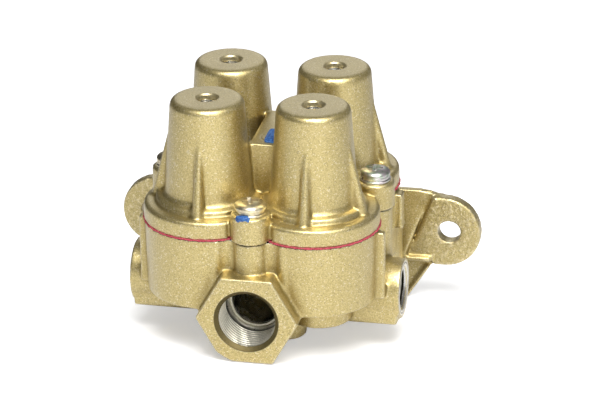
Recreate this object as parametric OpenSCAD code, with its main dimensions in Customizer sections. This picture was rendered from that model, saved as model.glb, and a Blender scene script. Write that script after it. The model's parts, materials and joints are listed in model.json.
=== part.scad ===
// Four-circuit protection valve for a compressed-air brake system.
// A cast body with a supply port and four circuit ports carries a cast cover with four spring
// towers. Each circuit has a spring-loaded diaphragm piston that closes on a pressed-in seat.
// Frame: the origin is midway between the two ear holes, on the mounting face. +X is right,
// +Y goes into the wall that the valve is bolted to, and +Z runs up along the towers.
// Inside at_middle() the frame is the valve's own: its axis at X = Y = 0, Z = 0 at the supply port.

/* [Layout] */
// Distance between neighbouring tower axes
tower_pitch = 38; // [37.5:0.5:38.5]
// Distance from the mounting face to the middle of the four towers
wall_to_middle = 50; // [50:0.5:52]
// Height of the supply port's axis above the line of the ear holes
port_rise = 1.2; // [0.6:0.2:1.8]
// Distance from the middle to each cover screw
screw_reach = 37.2; // [37:0.1:37.4]

/* [Body] */
// Radius of the body's four round lobes at the joint face
lobe_r = 22.9; // [22.6:0.1:23.2]
// Height of the body's underside above the supply port's axis
body_bottom = 0.6; // [0.4:0.1:0.8]
// Height of the body's joint face above the supply port's axis
body_top = 27.2; // [27:0.1:27.4]
// Depth of each diaphragm chamber
chamber_depth = 12.2; // [12:0.1:12.4]
// Radius of each diaphragm chamber
chamber_r = 13.6; // [13.2:0.1:13.8]

/* [Cover] */
// Radius of the cover's four round lobes
flange_r = 23.2; // [23:0.1:23.4]
// Thickness of the cover's flange
flange_h = 6.3; // [6:0.1:6.6]
// Height of the tower tops above the supply port's axis
tower_top = 72.1; // [71.8:0.1:72.4]
// Outer radius of a tower where it leaves the flange
tower_foot_r = 15.9; // [15.7:0.1:16]
// Outer radius of a tower just below its shoulder
tower_head_r = 13.2; // [13:0.1:13.4]
// Radius of the rounded shoulder
shoulder_r = 2.4; // [2:0.1:2.8]
// Height of the block between the towers
block_top = 54.7; // [54:0.1:55.4]

/* [Ears] */
// Distance between the two ear holes
ear_pitch = 113; // [112:0.5:114]
// Radius of an ear hole
ear_hole_r = 4.3; // [4.2:0.1:4.5]
// Thickness of the mounting ears
ear_t = 5; // [5:0.1:5.4]

/* [Ports] */
// Wall radius of the supply port's M22 x 1.5 thread
supply_r = 10.19; // [10.1:0.01:10.2]
// Wall radius of a circuit port's M16 x 1.5 thread
circuit_r = 7.19; // [7.1:0.01:7.2]
// Distance from the middle to the face of the supply port
supply_reach = 46.9; // [46.5:0.1:47.3]
// Distance from the middle to the face of each side port
side_reach = 49; // [48.6:0.1:49.4]

/* [Mechanism] */
// Gasket thickness
gasket_t = 0.7; // [0.6:0.05:0.8]
// Diaphragm thickness
diaphragm_t = 1; // [0.9:0.05:1]
// Wire radius of a main spring
wire_r = 1.2; // [1:0.05:1.25]
// Turns of a main spring
spring_turns = 7; // [6:0.5:8]
// Radial running clearance of the moving pieces
play = 0.04; // [0.03:0.01:0.06]

/* [Hidden] */
$fn = 96;

half = tower_pitch / 2;
// Circuit sides: X sign and Y sign of each tower
front_left = [-1, -1];
front_right = [1, -1];
rear_left = [-1, 1];
rear_right = [1, 1];
circuits = [front_left, front_right, rear_left, rear_right];
// The two circuits that are fed through a non-return valve
guarded = [front_right, rear_left];
function is_guarded(side) = side[0] * side[1] < 0;

// Joint heights
cover_bottom = body_top + gasket_t;
flange_top = cover_bottom + flange_h;
step_top = flange_top + 2.3;
boss_top = 37.6;
chamber_floor = body_top - chamber_depth;

// Piston stack, from the seat upwards
seat_top = 19.6;
pad_top = 20.9;
holder_bottom = 20.2;
holder_top = 23.4;
rim_bottom = body_top - diaphragm_t;
disc_bottom = holder_top + diaphragm_t;
spring_bottom = disc_bottom + 2.2;
spring_top = 57;
plate_top = 59.6;
spring_mean_r = 7.4;
spring_guide_r = 5.6;
disc_r = 8.9;
pad_r = 6.6;
stem_r = 2;

// Screws
cover_screw_r = 2.95;
cover_screw_end = 14;
washer_t = 0.8;
lock_t = 1.1;
head_r = 5.6;
head_h = 2.2;
centre_screw_x = 1.4;
centre_screw_y = -8.8;
centre_screw_r = 1.96;
centre_head_r = 2.8;
centre_seat = block_top - 2.6;
adjust_r = 3.46;
adjust_top = 69.2;
adjust_bottom = 61;

// Non-return valves, under two of the seats
guard_bottom = -9;
guard_seat = 1;
guard_bore_r = 6.5;
guard_inlet_r = 4;
plug_r = 8;
plug_top = -4.2;
seal_r = 7.38;
seal_z = -5.6;
seat_end = 12;
seat_r = 7;
seat_bore_r = 4.2;
rim_r = 17;

// Places a child in the valve's own frame
module at_middle() {
  translate([0, -wall_to_middle, port_rise]) children();
}

// Places a child on one circuit's axis, in the valve's own frame
module on_circuit(side) {
  translate([side[0] * half, side[1] * half, 0]) children();
}

// Places a child at each of the four cover screws, in the valve's own frame
module at_cover_screws() {
  for (angle = [0:90:270]) rotate([0, 0, angle]) translate([screw_reach, 0, 0]) children();
}

// Places a child on the sealed screw between the towers, in the valve's own frame
module at_centre_screw() {
  translate([centre_screw_x, centre_screw_y, 0]) children();
}

// Upright cylinder between two heights
module post(r, bottom, top) {
  translate([0, 0, bottom]) cylinder(h = top - bottom, r = r);
}

// Upright cone between two heights
module taper(r_bottom, r_top, bottom, top) {
  translate([0, 0, bottom]) cylinder(h = top - bottom, r1 = r_bottom, r2 = r_top);
}

// Disc whose upper edge is rounded
module round_disc(r, bottom, top, edge) {
  rotate_extrude() {
    translate([0, bottom]) square([r - edge, top - bottom]);
    translate([0, bottom]) square([r, top - bottom - edge]);
    translate([r - edge, top - edge]) circle(edge, $fn = 48);
  }
}

// Cylinder along X between two places, on the axis at y, z
module bar_x(r, x_from, x_to, y, z) {
  translate([x_from, y, z]) rotate([0, 90, 0]) cylinder(h = x_to - x_from, r = r);
}

// Cylinder along Y between two places, on the axis at x, z
module bar_y(r, y_from, y_to, x, z) {
  translate([x, y_to, z]) rotate([90, 0, 0]) cylinder(h = y_to - y_from, r = r);
}

// Box from its two opposite corners
module box(low, high) {
  translate(low) cube(high - low);
}

// Box that reaches from one distance to a larger one on side s of the middle, over a Y span and a Z span
module box_to_side(s, near, far, span_y, span_z) {
  box([min(s * near, s * far), span_y[0], span_z[0]], [max(s * near, s * far), span_y[1], span_z[1]]);
}

// Cylinder along X that reaches from one distance to a larger one on side s of the middle
module bar_to_side(r, s, near, far, y, z) {
  bar_x(r, min(s * near, s * far), max(s * near, s * far), y, z);
}

// Round bar that tapers from one point to another
module strut(from, to, r_from, r_to) {
  d = to - from;
  length = norm(d);
  translate(from)
    rotate([0, acos(d[2] / length), atan2(d[1], d[0])])
      cylinder(h = length, r1 = r_from, r2 = r_to, $fn = 48);
}

// ---- Lower body ----

front_web_half = 9.1;
bead_x = 12.6;
side_port_y = -8;
side_port_z = -0.4;
side_thread = 11;
supply_thread = 14;
rear_port_x = 30;
rear_port_y = 33;
rear_port_bottom = -12;
rear_thread = 11;
outlet_r = 2.6;
circuit_chamfer_r = 8.35;

module body_lobes() {
  draft = 0.5;
  core_r = 15;
  column_r = 6.1;
  column_bottom = 4;
  web_half = 8;
  for (side = circuits) on_circuit(side) taper(lobe_r - draft, lobe_r, body_bottom, body_top);
  post(core_r, body_bottom, body_top);
  at_cover_screws() post(column_r, column_bottom, body_top);
  for (angle = [0:90:270]) rotate([0, 0, angle])
    box([26, -web_half, body_bottom], [32.6, web_half, body_top]);
}

// Squared corners beside the front lobes, and short lugs beside the rear lobes
module side_pads(s) {
  pad_x = 44.5;
  pad_front = -21.5;
  pad_back = -18.2;
  lug_x = 44.4;
  lug_front = 14;
  lug_back = 19.4;
  lug_bottom = 13.4;
  lug_top = 25.8;
  lip = 0.4;
  inside = 36;
  box_to_side(s, inside, pad_x, [pad_front, pad_back], [body_bottom, body_top - 1]);
  box_to_side(s, inside, lug_x, [lug_front, lug_back], [lug_bottom, lug_top]);
  box_to_side(s, inside, lug_x + lip, [lug_front - lip, lug_back], [lug_bottom - 0.8, lug_bottom + 0.2]);
}

// Flat web and two upright beads where the supply port leaves the lobes
module front_web() {
  web_front = -39.3;
  bead_r = 3;
  bead_y = -38.4;
  bead_bottom = 2;
  box([-front_web_half, web_front, 0], [front_web_half, -28, body_top]);
  for (s = [-1, 1]) translate([s * bead_x, bead_y, 0]) post(bead_r, bead_bottom, body_top);
}

// Hexagonal boss whose lower left corner is turned down to a round
module supply_boss() {
  hex_r = 18.4;
  hex_back = -33;
  turned_r = 16.7;
  neck_r = 15.6;
  duct_r = 13.5;
  foot_r = 7.5;
  difference() {
    translate([0, hex_back, 0]) rotate([90, 0, 0])
      cylinder(h = supply_reach + hex_back, r = hex_r, $fn = 6);
    difference() {
      box([-20, -supply_reach - 1, -20], [-1, hex_back - 1, -8]);
      bar_y(turned_r, -supply_reach - 2, hex_back, 0, 0);
    }
  }
  bar_y(neck_r, -36, -28, 0, 0);
  bar_y(duct_r, -30, 26, 0, 0);
  translate([8.4, -20, 0]) post(foot_r, -15.6, 4);
}

// Round boss on a squared foot
module side_port_boss(s) {
  boss_r = s > 0 ? 10.7 : 11.2;
  inner = 24;
  foot_bottom = -11.2;
  foot_set_back = 0.8;
  bar_to_side(boss_r, s, inner, side_reach, side_port_y, side_port_z);
  box_to_side(s, inner, side_reach - foot_set_back,
              [side_port_y - 9.6, side_port_y + 6.4], [foot_bottom, side_port_z]);
}

module rear_port_boss(s) {
  boss_r = 11;
  boss_top_z = 12;
  translate([s * rear_port_x, rear_port_y, 0]) post(boss_r, rear_port_bottom, boss_top_z);
}

// Mounting plate with its slanted lower corners, ears and the webs that carry them
plate_back = wall_to_middle;
plate_t = 3;
plate_top_z = 13.8;
plate_low_z = -30;
ear_x = ear_pitch / 2 - 1.9;
ear_r = 13.6;
ear_z = -1.5;
ledge_z = -11.6;
pad_x = 50.4;
pad_inner_x = 41.1;
corner_x = 49.6;
corner_z = -15.7;
corner_low_x = 40.4;

// Plate outline drawn in X and Z, given a thickness forward of the mounting face
module upright_plate(thickness) {
  translate([0, plate_back, 0]) rotate([90, 0, 0]) linear_extrude(thickness) children();
}

// Raised ear: its round end, and the part whose inner edge slants down to the ledge
module ear(s) {
  intersection() {
    bar_y(ear_r, plate_back - ear_t, plate_back, s * ear_x, ear_z);
    box_to_side(s, pad_x, 80, [0, 60], [-40, 40]);
  }
  upright_plate(ear_t) polygon([
    [s * pad_x, ear_z + ear_r], [s * ear_x, ear_z + ear_r], [s * ear_x, ear_z - ear_r],
    [s * pad_x, ear_z - ear_r], [s * pad_x, ledge_z], [s * pad_inner_x, ledge_z]
  ]);
}

// Web that slopes forward between the plate and the rear lobe
module sloping_web(s) {
  web_front = 43.3;
  web_gap = 0.8;
  intersection() {
    rotate([90, 0, 90]) translate([0, 0, min(s * 30, s * 50)]) linear_extrude(20)
      polygon([
        [plate_back - 1, plate_top_z], [plate_back - 1.5, plate_top_z], [web_front, -7],
        [web_front, ledge_z], [plate_back - 1, ledge_z]
      ]);
    upright_plate(20) polygon([
      [s * 30, plate_top_z], [s * (pad_x - web_gap), plate_top_z],
      [s * (pad_inner_x - web_gap), ledge_z], [s * 30, ledge_z]
    ]);
  }
}

module mounting_plate() {
  web_low_z = -12.4;
  upright_plate(plate_t) polygon([
    [-ear_x, ear_z + ear_r], [-45, plate_top_z], [45, plate_top_z], [ear_x, ear_z + ear_r],
    [ear_x, ear_z - ear_r], [corner_x, corner_z], [corner_low_x, plate_low_z],
    [-corner_low_x, plate_low_z], [-corner_x, corner_z], [-ear_x, ear_z - ear_r]
  ]);
  for (s = [-1, 1]) {
    ear(s);
    sloping_web(s);
    // Ledge under the ear
    box_to_side(s, 34, pad_x - 0.5, [plate_back - 7, plate_back - 1], [ledge_z - 1.8, ledge_z]);
    // Rim of the slanted lower corner
    translate([0, -1, 0]) upright_plate(3.4) polygon([
      [s * corner_x, corner_z], [s * corner_low_x, plate_low_z],
      [s * (corner_low_x - 1.4), plate_low_z], [s * (corner_x - 1.6), corner_z]
    ]);
  }
  // Web between the lobes and the plate
  translate([0, 0, web_low_z]) linear_extrude(22.4)
    polygon([[-37, plate_back - 1], [-32, 28], [32, 28], [37, plate_back - 1]]);
  box([-30, plate_back - 6, plate_low_z], [30, plate_back - 1, -10]);
}

module guard_boss(side) {
  boss_r = 11.8;
  on_circuit(side) translate([side[0] * 1.5, -side[1], 0]) post(boss_r, guard_bottom, 6);
}

module body_casting() {
  body_lobes();
  front_web();
  supply_boss();
  for (s = [-1, 1]) {
    side_port_boss(s);
    rear_port_boss(s);
    side_pads(s);
  }
  for (side = guarded) guard_boss(side);
  mounting_plate();
}

// Round chamber with its clamping ledge, seat pocket and inlet passage
module circuit_cavity(side) {
  on_circuit(side) {
    post(chamber_r, chamber_floor, body_top + 1);
    post(rim_r + 0.05, rim_bottom, body_top + 1);
    post(seat_r + 0.02, seat_end, chamber_floor + 1);
    post(seat_bore_r, 2, seat_end + 1);
  }
}

// Non-return valve's bore, between the seat pocket and the plug's thread
module guard_cavity(side) {
  on_circuit(side) {
    post(guard_bore_r, guard_seat, seat_end + 1);
    post(guard_inlet_r, plug_top - 1, guard_seat + 1);
    post(guard_bore_r, plug_top, guard_seat - 2.2);
    post(plug_r + 0.02, guard_bottom - 1, plug_top);
  }
}

module supply_passages() {
  groove_depth = 1.6;
  chamfer_r = 11.55;
  groove_r = 10.9;
  step_r = 8.4;
  duct_bore_r = 7.5;
  branch_r = 3.1;
  thread_y = -supply_reach + supply_thread;
  step_y = thread_y + groove_depth;
  bar_y(supply_r, -supply_reach - 1, thread_y, 0, 0);
  translate([0, -supply_reach - 0.01, 0]) rotate([-90, 0, 0])
    cylinder(h = chamfer_r - supply_r, r1 = chamfer_r, r2 = supply_r);
  bar_y(groove_r, thread_y, step_y, 0, 0);
  bar_y(step_r, step_y - 0.5, step_y + 2, 0, 0);
  bar_y(duct_bore_r, step_y, 24, 0, 0);
  for (side = circuits)
    bar_to_side(branch_r, side[0], 0, half, side[1] * half, is_guarded(side) ? -1.5 : 5);
}

// Threaded mouth with its chamfer, a duct behind it and an outlet up to the diaphragm chamber
module side_port_passage(s) {
  bar_to_side(circuit_r, s, side_reach - side_thread, side_reach + 1, side_port_y, side_port_z);
  translate([s * (side_reach + 0.01), side_port_y, side_port_z]) rotate([0, -s * 90, 0])
    cylinder(h = circuit_chamfer_r - circuit_r, r1 = circuit_chamfer_r, r2 = circuit_r);
  bar_to_side(4.5, s, 25, 39, side_port_y, side_port_z);
  translate([s * 27, -11.3, 0]) post(outlet_r, side_port_z, chamber_floor + 1);
}

module rear_port_passage(s) {
  translate([s * rear_port_x, rear_port_y, 0]) {
    post(circuit_r, rear_port_bottom - 1, rear_port_bottom + rear_thread);
    taper(circuit_chamfer_r, circuit_r, rear_port_bottom - 0.01,
          rear_port_bottom + circuit_chamfer_r - circuit_r);
  }
  translate([s * 26.1, 28.1, 0])
    post(outlet_r, rear_port_bottom + rear_thread - 1.5, chamber_floor + 1);
}

module lower_body() {
  color("tan") at_middle() difference() {
    body_casting();
    for (side = circuits) circuit_cavity(side);
    for (side = guarded) guard_cavity(side);
    supply_passages();
    for (s = [-1, 1]) {
      side_port_passage(s);
      rear_port_passage(s);
      bar_y(ear_hole_r, wall_to_middle - 12, wall_to_middle + 1, s * ear_pitch / 2, -port_rise);
    }
    at_cover_screws() post(cover_screw_r + play, cover_screw_end - 2, body_top + 1);
    at_centre_screw() post(centre_screw_r + play, 11, body_top + 1);
  }
}

// ---- Cover ----

// One lobe with its raised step and hollow tower, without the cavity
module tower_outside() {
  round_disc(flange_r, cover_bottom, flange_top, 1.5);
  round_disc(18.7, cover_bottom, step_top, 1);
  taper(tower_foot_r, tower_head_r, flange_top - 1, tower_top - shoulder_r);
  post(tower_head_r - shoulder_r, tower_top - shoulder_r, tower_top);
  rotate_extrude() translate([tower_head_r - shoulder_r, tower_top - shoulder_r])
    intersection() {
      circle(shoulder_r, $fn = 64);
      translate([0, -0.2]) square(shoulder_r + 1);
    }
  taper(tower_foot_r + 1.1, tower_foot_r - 0.3, step_top - 0.5, step_top + 1.6);
}

// Upright fin on a tower, narrower towards its top, from its foot's reach to its head's
module fin(foot, head, foot_half, head_half, bottom, top) {
  intersection() {
    rotate([90, 0, 0]) translate([0, 0, -foot_half - 1]) linear_extrude(2 * foot_half + 2)
      polygon([[8, bottom], [foot, bottom], [head, top], [8, top]]);
    rotate([90, 0, 90]) linear_extrude(foot + 1)
      polygon([[-foot_half, bottom], [foot_half, bottom], [head_half, top], [-head_half, top]]);
  }
}

// Rounded upright rib that runs out on the tower's wall
module tower_rib(angle, top_z) {
  foot = 18.9;
  head = 13.1;
  bottom = flange_top - 0.5;
  rotate([0, 0, angle]) {
    strut([foot, 0, bottom], [head, 0, top_z], 2.05, 0.9);
    fin(foot, head, 2, 0.85, bottom, top_z);
  }
}

// Pointed web on the side of a tower that looks at the middle
module inner_web(side) {
  rotate([0, 0, atan2(-side[1], -side[0])]) fin(17.4, 13, 4.2, 0.6, flange_top, 66.4);
}

module cover_casting() {
  rib_top = 60;
  difference() {
    for (side = circuits) on_circuit(side) {
      tower_outside();
      inner_web(side);
    }
    // The lobes stop short of the screw bosses
    for (angle = [0:90:270]) rotate([0, 0, angle])
      box([36.6, -8, cover_bottom - 1], [44, 8, step_top + 4]);
  }
  on_circuit(front_left) {
    tower_rib(-90, rib_top);
    tower_rib(180, rib_top);
  }
  on_circuit(front_right) {
    tower_rib(-90, rib_top);
    tower_rib(-15, rib_top);
  }
  on_circuit(rear_left) {
    tower_rib(90, rib_top);
    tower_rib(180, rib_top);
  }
  on_circuit(rear_right) {
    tower_rib(90, rib_top);
    tower_rib(0, rib_top);
  }
  post(16, cover_bottom, flange_top);
  at_cover_screws() round_disc(7, cover_bottom, boss_top, 0.6);
  for (angle = [0:90:270]) rotate([0, 0, angle])
    box([24, -5, cover_bottom], [36, 5, flange_top]);
  box([-5, -16.4, cover_bottom], [5, 16.4, block_top]);
}

module cover() {
  color("tan") at_middle() difference() {
    cover_casting();
    for (side = circuits) on_circuit(side) {
      post(chamber_r, cover_bottom - 1, cover_bottom + 3.4);
      post(11, cover_bottom, 40);
      taper(11, 10, 39.9, 62);
      post(adjust_r + play, 60, tower_top + 1);
      taper(adjust_r + play, 4.2, tower_top - 0.7, tower_top + 0.01);
    }
    at_cover_screws() post(cover_screw_r + 0.3, cover_bottom - 1, boss_top + 1);
    at_centre_screw() {
      post(centre_screw_r + 0.3, cover_bottom - 1, block_top);
      post(centre_head_r + 0.3, centre_seat, block_top + 1);
    }
  }
}

// ---- Seals ----

module gasket() {
  color("crimson") at_middle() difference() {
    union() {
      for (side = circuits) on_circuit(side) post(flange_r - 0.1, body_top, cover_bottom);
      at_cover_screws() post(5.9, body_top, cover_bottom);
      post(16, body_top, cover_bottom);
    }
    for (side = circuits) on_circuit(side) post(chamber_r, body_top - 1, cover_bottom + 1);
    at_cover_screws() post(cover_screw_r + 0.2, body_top - 1, cover_bottom + 1);
    at_centre_screw() post(centre_screw_r + 0.2, body_top - 1, cover_bottom + 1);
  }
}

// Dished rubber disc: its rim is clamped under the gasket, its middle under the piston
module diaphragm(side) {
  color("dimgray") at_middle() on_circuit(side) rotate_extrude()
    polygon([
      [stem_r + play, holder_top], [disc_r + 0.4, holder_top], [chamber_r - 0.2, rim_bottom],
      [rim_r, rim_bottom], [rim_r, body_top], [chamber_r - 0.5, body_top],
      [disc_r, disc_bottom], [stem_r + play, disc_bottom]
    ]);
}

module plug_seals() {
  color("black") at_middle() for (side = guarded) on_circuit(side)
    rotate_extrude() translate([seal_r, seal_z]) circle(0.62, $fn = 32);
}

// ---- Circuit parts ----

module valve_seats() {
  neck_r = 6.2;
  color("gold") at_middle() for (side = circuits) on_circuit(side) difference() {
    union() {
      post(seat_r, seat_end, chamber_floor);
      post(seat_r + 1, chamber_floor, chamber_floor + 1.6);
      post(neck_r, chamber_floor, seat_top - 1);
      taper(neck_r, neck_r - 1, seat_top - 1, seat_top);
    }
    post(seat_bore_r, seat_end - 1, seat_top + 1);
  }
}

// Spring seat above the diaphragm, with the stem that carries the valve below it
module piston(side) {
  color("silver") at_middle() on_circuit(side) {
    post(stem_r, holder_bottom + 0.9, disc_bottom);
    post(disc_r, disc_bottom, spring_bottom);
    post(spring_guide_r, spring_bottom, spring_bottom + 3);
    taper(spring_guide_r, spring_guide_r - 1, spring_bottom + 3, spring_bottom + 4);
  }
}

module valve_holder(side) {
  color("silver") at_middle() on_circuit(side) difference() {
    post(7.2, holder_bottom, holder_top);
    post(stem_r + 0.02, holder_bottom - 1, holder_top + 1);
    post(pad_r + 0.02, holder_bottom - 1, pad_top);
  }
}

module valve_pad(side) {
  color("dimgray") at_middle() on_circuit(side) difference() {
    post(pad_r, seat_top, pad_top);
    post(2.4, pad_top - 0.5, pad_top + 1);
  }
}

module spring_plate(side) {
  color("silver") at_middle() on_circuit(side) {
    post(9.2, spring_top, spring_top + 1.8);
    post(spring_guide_r, spring_top - 3, spring_top);
    taper(4.4, 3.6, spring_top + 1.8, plate_top);
  }
}

// Set screw with a hexagon socket, on the spring plate's crown
module adjusting_screw(side) {
  socket_r = 2.31;
  color("lightgray") at_middle() on_circuit(side) difference() {
    union() {
      post(2.2, plate_top, adjust_bottom - 0.8);
      taper(2.2, adjust_r, adjust_bottom - 0.8, adjust_bottom);
      post(adjust_r, adjust_bottom, adjust_top);
    }
    translate([0, 0, adjust_top - 4]) cylinder(h = 5, r = socket_r, $fn = 6);
  }
}

// ---- Coil springs ----

coil_steps = 14;
coil_sides = 8;

// Height of the wire's middle after some turns: the end turns lie flat, the rest climb evenly
function coil_rise(turn, turns, closed, height, r) =
  turn < closed ? 2 * r * turn :
  turn > turns - closed ? height - 2 * r * (turns - turn) :
  2 * r * closed + (turn - closed) * (height - 4 * r * closed) / (turns - 2 * closed);

function coil_points(mean_r, r, bottom, top, turns, closed) = [
  for (i = [0:turns * coil_steps])
    let (turn = i / coil_steps)
      let (z = bottom + r + coil_rise(turn, turns, closed, top - bottom - 2 * r, r * 1.02))
        for (k = [0:coil_sides - 1])
          let (bearing = 360 * k / coil_sides, out = mean_r + r * cos(bearing))
            [out * cos(360 * turn), out * sin(360 * turn), z + r * sin(bearing)]
];

function coil_faces(rings) = concat(
  [[for (k = [0:coil_sides - 1]) k]],
  [for (i = [0:rings - 2], k = [0:coil_sides - 1])
    let (a = i * coil_sides + k, b = i * coil_sides + (k + 1) % coil_sides)
      [a, a + coil_sides, b + coil_sides, b]],
  [[for (k = [coil_sides - 1:-1:0]) (rings - 1) * coil_sides + k]]
);

module coil(mean_r, r, bottom, top, turns, closed) {
  points = coil_points(mean_r, r, bottom, top, turns, closed);
  polyhedron(points, coil_faces(len(points) / coil_sides), convexity = 10);
}

module main_spring(side) {
  color("slategray") at_middle() on_circuit(side)
    coil(spring_mean_r, wire_r, spring_bottom, spring_top, spring_turns, 1);
}

// ---- Non-return valves ----

poppet_top = 3;

module nonreturn_valve(side) {
  color("dimgray") at_middle() on_circuit(side) {
    post(5.8, guard_seat, poppet_top);
    post(1.6, poppet_top, 8);
    post(3.6, guard_seat - 1.2, guard_seat);
  }
}

module nonreturn_spring(side) {
  color("slategray") at_middle() on_circuit(side) coil(5, 0.45, poppet_top, seat_end, 5, 0.75);
}

// Flush screw plugs with a hexagon socket and a groove for the seal
module bottom_plugs() {
  socket_r = 4.62;
  color("silver") at_middle() for (side = guarded) on_circuit(side) difference() {
    post(plug_r, guard_bottom + 0.4, plug_top);
    translate([0, 0, guard_bottom - 1]) cylinder(h = 4.2, r = socket_r, $fn = 6);
    difference() {
      post(plug_r + 1, seal_z - 0.7, seal_z + 0.7);
      post(seal_r - 0.7, seal_z - 1, seal_z + 1);
    }
  }
}

// ---- Fasteners ----

module recess(top, depth) {
  for (angle = [0, 90]) rotate([0, 0, angle])
    box([-3.3, -0.75, top - depth], [3.3, 0.75, top + 1]);
}

module cover_screws() {
  seat = boss_top + washer_t + lock_t;
  color("silver") at_middle() at_cover_screws() difference() {
    union() {
      post(cover_screw_r, cover_screw_end, seat);
      round_disc(head_r, seat, seat + head_h, 1.1);
    }
    recess(seat + head_h, 1.5);
  }
}

module flat_washers() {
  color("silver") at_middle() at_cover_screws() difference() {
    post(head_r, boss_top, boss_top + washer_t);
    post(cover_screw_r + 0.1, boss_top - 1, boss_top + washer_t + 1);
  }
}

// Split spring washers
module lock_washers() {
  bottom = boss_top + washer_t;
  color("gray") at_middle() at_cover_screws() difference() {
    post(5.1, bottom, bottom + lock_t);
    post(cover_screw_r + 0.1, bottom - 1, bottom + lock_t + 1);
    box([0, -0.5, bottom - 1], [6, 0.5, bottom + lock_t + 1]);
  }
}

module centre_screw() {
  color("silver") at_middle() at_centre_screw() difference() {
    union() {
      post(centre_screw_r, 13, centre_seat);
      round_disc(centre_head_r, centre_seat, centre_seat + 2, 0.5);
    }
    translate([0, 0, centre_seat + 0.8]) cylinder(h = 3, r = 1.45, $fn = 6);
  }
}

// ---- Nodes ----

lower_body();
cover();
gasket();
valve_seats();
cover_screws();
flat_washers();
lock_washers();
centre_screw();
bottom_plugs();
plug_seals();
adjusting_screw(front_left);  // adjusting_screw_front_left
adjusting_screw(front_right);  // adjusting_screw_front_right
adjusting_screw(rear_left);  // adjusting_screw_rear_left
adjusting_screw(rear_right);  // adjusting_screw_rear_right
spring_plate(front_left);  // spring_plate_front_left
spring_plate(front_right);  // spring_plate_front_right
spring_plate(rear_left);  // spring_plate_rear_left
spring_plate(rear_right);  // spring_plate_rear_right
main_spring(front_left);  // main_spring_front_left
main_spring(front_right);  // main_spring_front_right
main_spring(rear_left);  // main_spring_rear_left
main_spring(rear_right);  // main_spring_rear_right
piston(front_left);  // piston_front_left
piston(front_right);  // piston_front_right
piston(rear_left);  // piston_rear_left
piston(rear_right);  // piston_rear_right
diaphragm(front_left);  // diaphragm_front_left
diaphragm(front_right);  // diaphragm_front_right
diaphragm(rear_left);  // diaphragm_rear_left
diaphragm(rear_right);  // diaphragm_rear_right
valve_holder(front_left);  // valve_holder_front_left
valve_holder(front_right);  // valve_holder_front_right
valve_holder(rear_left);  // valve_holder_rear_left
valve_holder(rear_right);  // valve_holder_rear_right
valve_pad(front_left);  // valve_pad_front_left
valve_pad(front_right);  // valve_pad_front_right
valve_pad(rear_left);  // valve_pad_rear_left
valve_pad(rear_right);  // valve_pad_rear_right
nonreturn_valve(front_right);  // nonreturn_valve_front_right
nonreturn_valve(rear_left);  // nonreturn_valve_rear_left
nonreturn_spring(front_right);  // nonreturn_spring_front_right
nonreturn_spring(rear_left);  // nonreturn_spring_rear_left
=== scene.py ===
"""Looks of the four-circuit protection valve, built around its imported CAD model.

The two castings get cast skins: their CAD shapes resampled finely and relaxed, so that every
edge and corner takes the small fillet of a casting, while bores and joint faces stay exact.
Threads, the lips of ports and towers, fasteners, gasket edge, springs, diaphragms and lacquer
are meshes of their own.
Lengths are in metres in the row's frame. at(x, y, z) takes millimetres in the valve's own
frame, whose origin is on the supply port's axis in the middle of the four towers.
"""

import json
import math

import bmesh
import bpy
import numpy as np
from mathutils import Matrix, Vector


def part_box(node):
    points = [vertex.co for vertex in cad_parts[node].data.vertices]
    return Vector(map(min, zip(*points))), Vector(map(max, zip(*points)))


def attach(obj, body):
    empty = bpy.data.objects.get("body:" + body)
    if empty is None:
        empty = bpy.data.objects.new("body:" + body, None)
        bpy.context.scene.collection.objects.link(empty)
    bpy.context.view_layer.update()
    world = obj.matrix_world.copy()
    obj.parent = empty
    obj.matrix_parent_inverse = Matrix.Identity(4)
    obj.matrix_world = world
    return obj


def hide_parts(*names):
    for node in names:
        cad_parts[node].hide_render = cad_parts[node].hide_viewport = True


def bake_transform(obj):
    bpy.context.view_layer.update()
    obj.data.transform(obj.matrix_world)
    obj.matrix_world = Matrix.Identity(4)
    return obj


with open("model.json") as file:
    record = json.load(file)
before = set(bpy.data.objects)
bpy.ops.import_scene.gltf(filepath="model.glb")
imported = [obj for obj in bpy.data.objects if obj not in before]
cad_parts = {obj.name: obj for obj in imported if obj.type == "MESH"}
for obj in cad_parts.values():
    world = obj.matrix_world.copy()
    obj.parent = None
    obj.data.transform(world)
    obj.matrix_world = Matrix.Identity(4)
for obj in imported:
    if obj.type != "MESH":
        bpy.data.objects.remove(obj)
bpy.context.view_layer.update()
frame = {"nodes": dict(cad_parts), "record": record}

MM = 0.001
CORNERS = {"front_left": (-1, -1), "front_right": (1, -1),
           "rear_left": (-1, 1), "rear_right": (1, 1)}
GUARDED = ("front_right", "rear_left")
SCREWS = {"front": -90, "right": 0, "rear": 90, "left": 180}


# ---- Places worked out from the frame ----

def mount(name):
    """The record's mount of that name."""
    return next(m for m in frame["record"]["mounts"] if m["name"] == name)


def node_centre(name):
    """The middle of a CAD node's box."""
    low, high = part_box(name)
    return (low + high) / 2


BODY_LOW, BODY_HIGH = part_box("lower_body")
COVER_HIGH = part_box("cover")[1]
GASKET_LOW, GASKET_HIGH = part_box("gasket")
PORT = Vector(mount("supply_port")["pos_m"])
MIDDLE = (node_centre("piston_front_left") + node_centre("piston_rear_right")) / 2
MIDDLE.z = PORT.z
HALF_PITCH = node_centre("piston_front_right").x - MIDDLE.x
WASHER_LOW, WASHER_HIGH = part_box("flat_washers")
WASHER_R = 5.6 * MM
SCREW_REACH = (WASHER_HIGH - WASHER_LOW).x / 2 - WASHER_R
LOCK_LOW, LOCK_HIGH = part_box("lock_washers")
EAR_X = mount("ear_holes")["dims"]["spacing_x_mm"] / 2 * MM
EAR_HOLE_R = mount("ear_holes")["dims"]["hole_r_mm"] * MM


def at(x, y, z):
    """A place given in millimetres in the valve's own frame."""
    return MIDDLE + Vector((x, y, z)) * MM


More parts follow.
